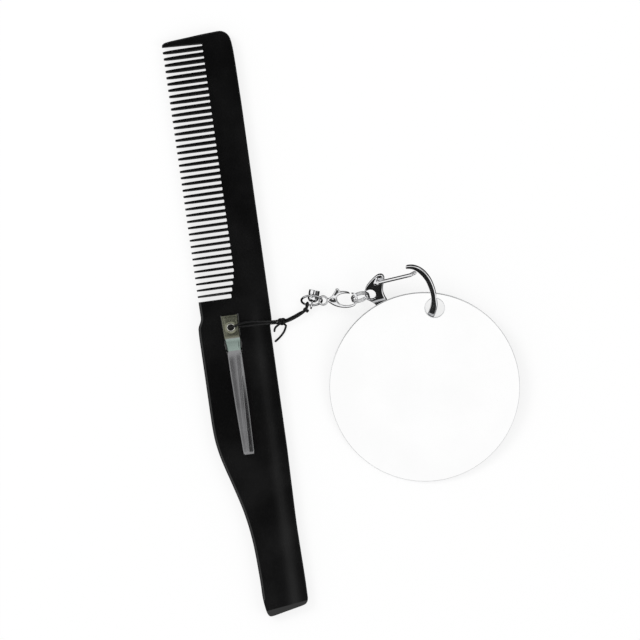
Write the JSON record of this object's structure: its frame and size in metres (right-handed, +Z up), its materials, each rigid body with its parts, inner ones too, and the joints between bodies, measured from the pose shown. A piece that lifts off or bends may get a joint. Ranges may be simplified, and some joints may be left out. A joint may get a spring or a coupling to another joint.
{
  "type": "pocket comb with clip and mirror",
  "caption": "Flat pocket comb with a sprung clip on its handle, a knotted cord, a row of small links, a ring-shaped spring clasp and a round acrylic mirror.",
  "frame": {"origin": "on the table, under the middle of the box round the whole object as it lies", "axes": "+X from the comb's teeth towards the mirror, +Y along the comb from the handle to the head, +Z up from the table"},
  "size_m": [0.1007, 0.19, 0.0126],
  "materials": {
    "comb_plastic": "glossy black",
    "clip_steel": "pressed sheet, bright",
    "spring_steel": "drawn wire",
    "eyelet_metal": "plated",
    "chrome": "polished plating",
    "cord_fabric": "waxed black cord",
    "mirror_acrylic": "mirrored acrylic"
  },
  "bodies": {
    "comb_body": {"comb": "comb_plastic", "clip_lower_jaw": "clip_steel", "clip_hinge_pin": "clip_steel", "clip_spring": "spring_steel", "clip_rivet_front": "clip_steel", "clip_rivet_rear": "clip_steel", "cord_clip_loop": "cord_fabric", "cord_ring_loop": "cord_fabric", "cord_knot": "cord_fabric", "cord_long_tail": "cord_fabric", "cord_short_tail": "cord_fabric"},
    "clip_jaw": {"clip_upper_jaw": "clip_steel", "tab_eyelet": "eyelet_metal"},
    "link": {"link_ring": "chrome"},
    "barrel": {"crimp_barrel": "chrome"},
    "claw": {"claw_body": "chrome", "claw_lever_pin": "chrome"},
    "lever": {"claw_lever": "chrome"},
    "split": {"split_ring": "chrome"},
    "clasp": {"clasp_frame": "chrome", "clasp_gate_pin": "chrome"},
    "gate": {"clasp_gate": "chrome"},
    "mirror": {"mirror_disc": "mirror_acrylic"}
  },
  "joints": [
    {"name": "clip_jaw_hinge", "type": "hinge", "parent": "comb_body", "child": "clip_jaw", "pos_m": [-0.03973, -0.006, 0.0063], "axis": [-1, 0, 0], "range_deg": [0, 16], "stiffness_Nm_per_rad": 0.01, "springref_deg": -20.05, "deforming": ["cord_clip_loop", "clip_spring"]},
    {"name": "link_ring_swing", "type": "hinge", "parent": "comb_body", "child": "link", "pos_m": [-0.01499, 0.00362, 0.00212], "axis": [0, 0, 1], "range_deg": [-15, 15], "deforming": ["cord_ring_loop"]},
    {"name": "barrel_swing", "type": "hinge", "parent": "link", "child": "barrel", "pos_m": [-0.01294, 0.00297, 0.00144], "axis": [0, 0, 1], "range_deg": [-8, 12]},
    {"name": "claw_swing", "type": "hinge", "parent": "link", "child": "claw", "pos_m": [-0.00946, 0.00405, 0.00435], "axis": [0, 0, -1], "range_deg": [-15, 15]},
    {"name": "claw_lever_hinge", "type": "hinge", "parent": "claw", "child": "lever", "pos_m": [-0.00591, 0.00409, 0.0044], "axis": [0, 0, -1], "range_deg": [0, 24], "stiffness_Nm_per_rad": 0.0005, "springref_deg": -28.65},
    {"name": "split_ring_swing", "type": "hinge", "parent": "claw", "child": "split", "pos_m": [0.00026, 0.00292, 0.00455], "axis": [0, 0, 1], "range_deg": [-12, 12]},
    {"name": "clasp_swing", "type": "hinge", "parent": "split", "child": "clasp", "pos_m": [0.00579, 0.00384, 0.00455], "axis": [0, 0, -1], "range_deg": [-12, 12]},
    {"name": "gate_hinge", "type": "hinge", "parent": "clasp", "child": "gate", "pos_m": [0.00908, 0.0078, 0.00738], "axis": [0.2223, 0.4479, -0.866], "range_deg": [0, 35], "stiffness_Nm_per_rad": 0.001, "springref_deg": -28.65},
    {"name": "mirror_swing", "type": "hinge", "parent": "clasp", "child": "mirror", "pos_m": [0.02633, -0.0033, 0.00608], "axis": [-0.0442, -0.089, 0.9951], "range_deg": [-1, 24]}
  ]
}
